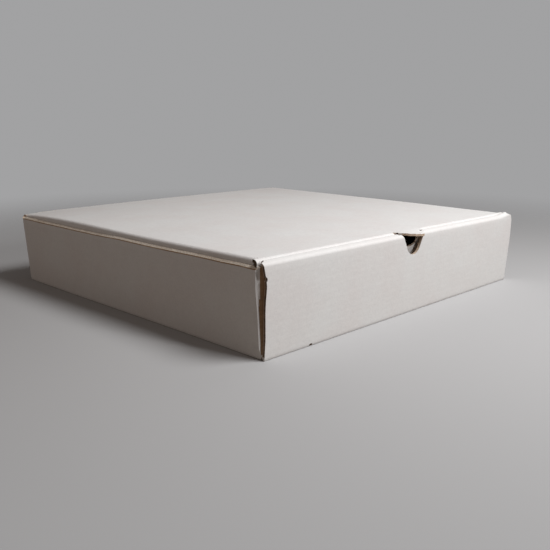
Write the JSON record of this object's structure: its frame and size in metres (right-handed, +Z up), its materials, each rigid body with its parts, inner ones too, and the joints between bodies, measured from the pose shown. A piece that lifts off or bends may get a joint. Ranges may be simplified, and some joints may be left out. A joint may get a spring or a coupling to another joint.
{
  "type": "pizza box",
  "caption": "Square low pizza box folded from white corrugated board, with a rolled-over front wall, a thumb notch and a hinged tuck-in lid.",
  "frame": {"origin": "middle of the base panel's underside", "axes": "+Z up, -Y towards the front wall with the thumb notch, +X to the right seen from the front"},
  "size_m": [0.229, 0.2317, 0.0457],
  "materials": {
    "white_board": "matt white liner outside, brown kraft inside and on the raw edges"
  },
  "bodies": {
    "tray": {"tray": "white_board"},
    "lid": {"lid": "white_board"}
  },
  "joints": [
    {"name": "lid_hinge", "type": "hinge", "parent": "tray", "child": "lid", "pos_m": [0, 0.11375, 0.04495], "axis": [-1, 0, 0], "range_deg": [0, 175]}
  ]
}
